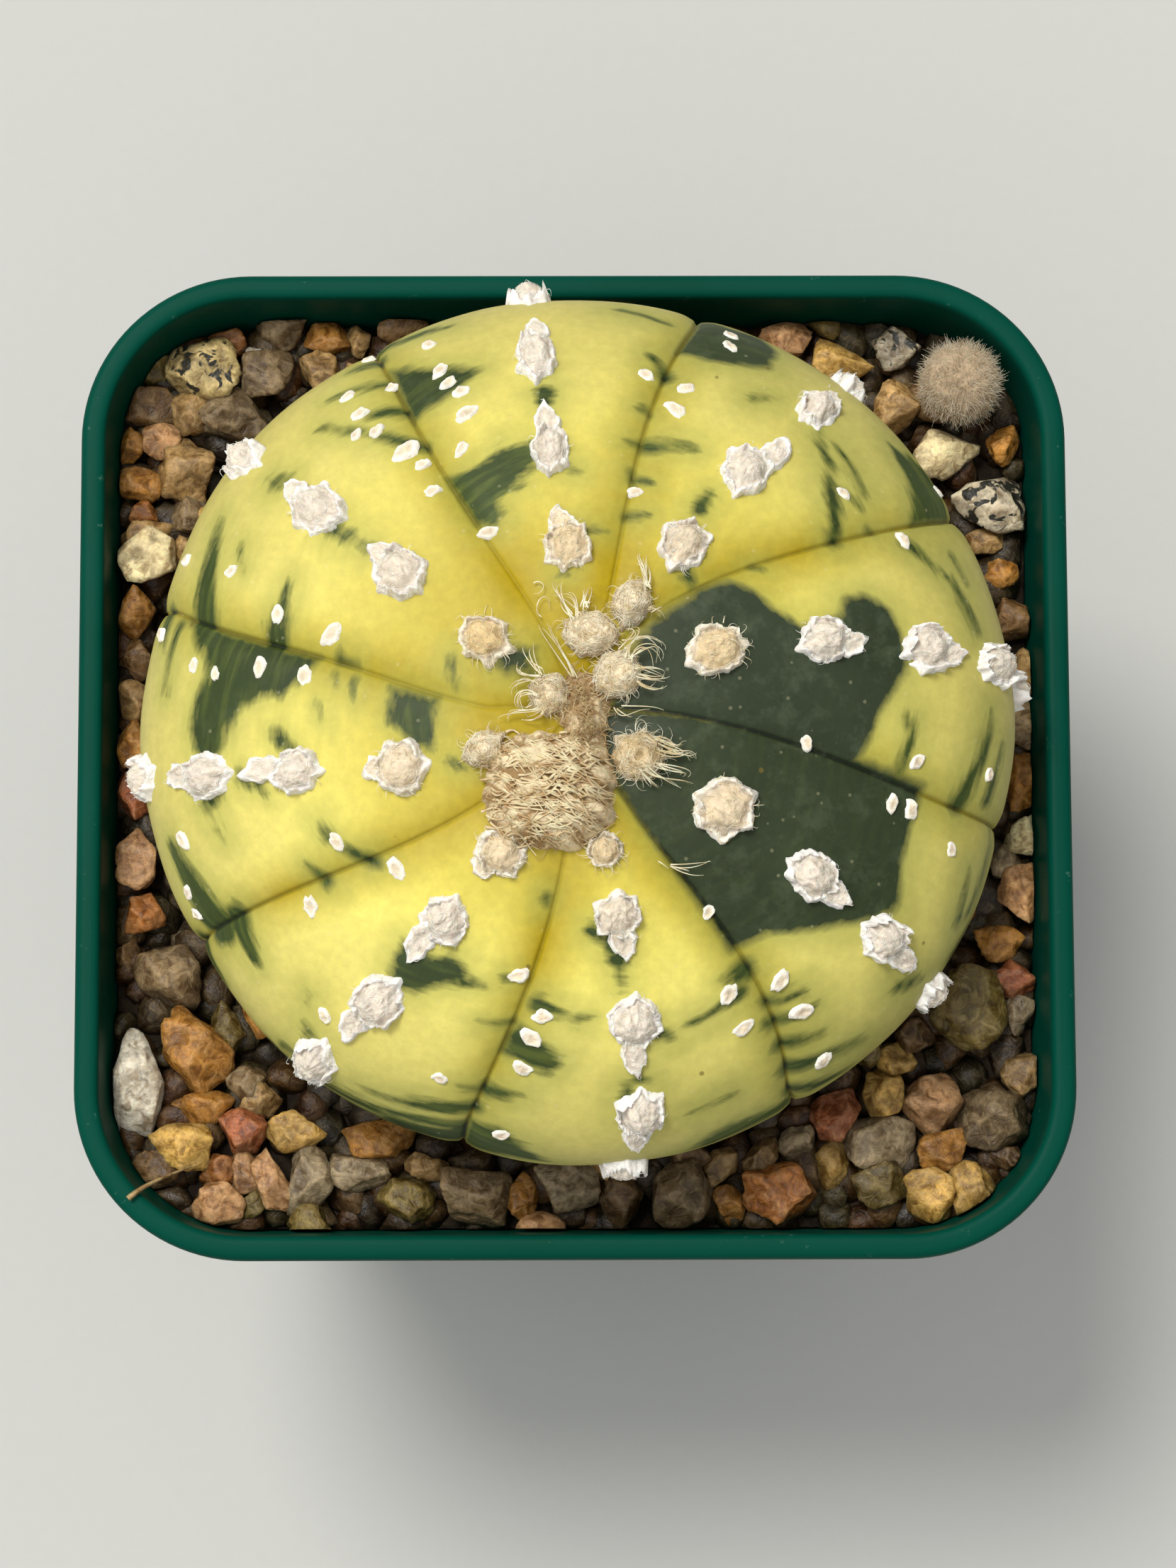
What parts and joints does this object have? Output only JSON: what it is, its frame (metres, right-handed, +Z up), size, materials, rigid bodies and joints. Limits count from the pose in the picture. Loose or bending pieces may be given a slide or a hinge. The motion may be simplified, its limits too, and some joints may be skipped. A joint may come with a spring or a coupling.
{
  "type": "potted variegated star cactus",
  "caption": "Flat ribbed globe cactus, yellow with dark green patches and woolly areoles, bedded in gravel in a square tapered green nursery pot.",
  "frame": {"origin": "on the resting surface under the middle of the square pot, at the bottom centre of the bounding box", "axes": "+Z up along the pot's height, +X to the picture's right and +Y to the picture's top, both square to the pot's sides"},
  "size_m": [0.07, 0.07, 0.0856],
  "materials": {
    "pot": "satin",
    "potting_mix": "matte",
    "gravel": "satin",
    "cactus": "waxy",
    "wool_tuft": "fuzzy",
    "woolly_fruit": "fuzzy",
    "dry_stalk": "matte"
  },
  "bodies": {
    "root": {"pot": "pot", "potting_mix": "potting_mix", "gravel": "gravel", "cactus": "cactus", "wool_tuft": "wool_tuft", "woolly_fruit": "woolly_fruit", "dry_stalk": "dry_stalk"}
  },
  "joints": []
}
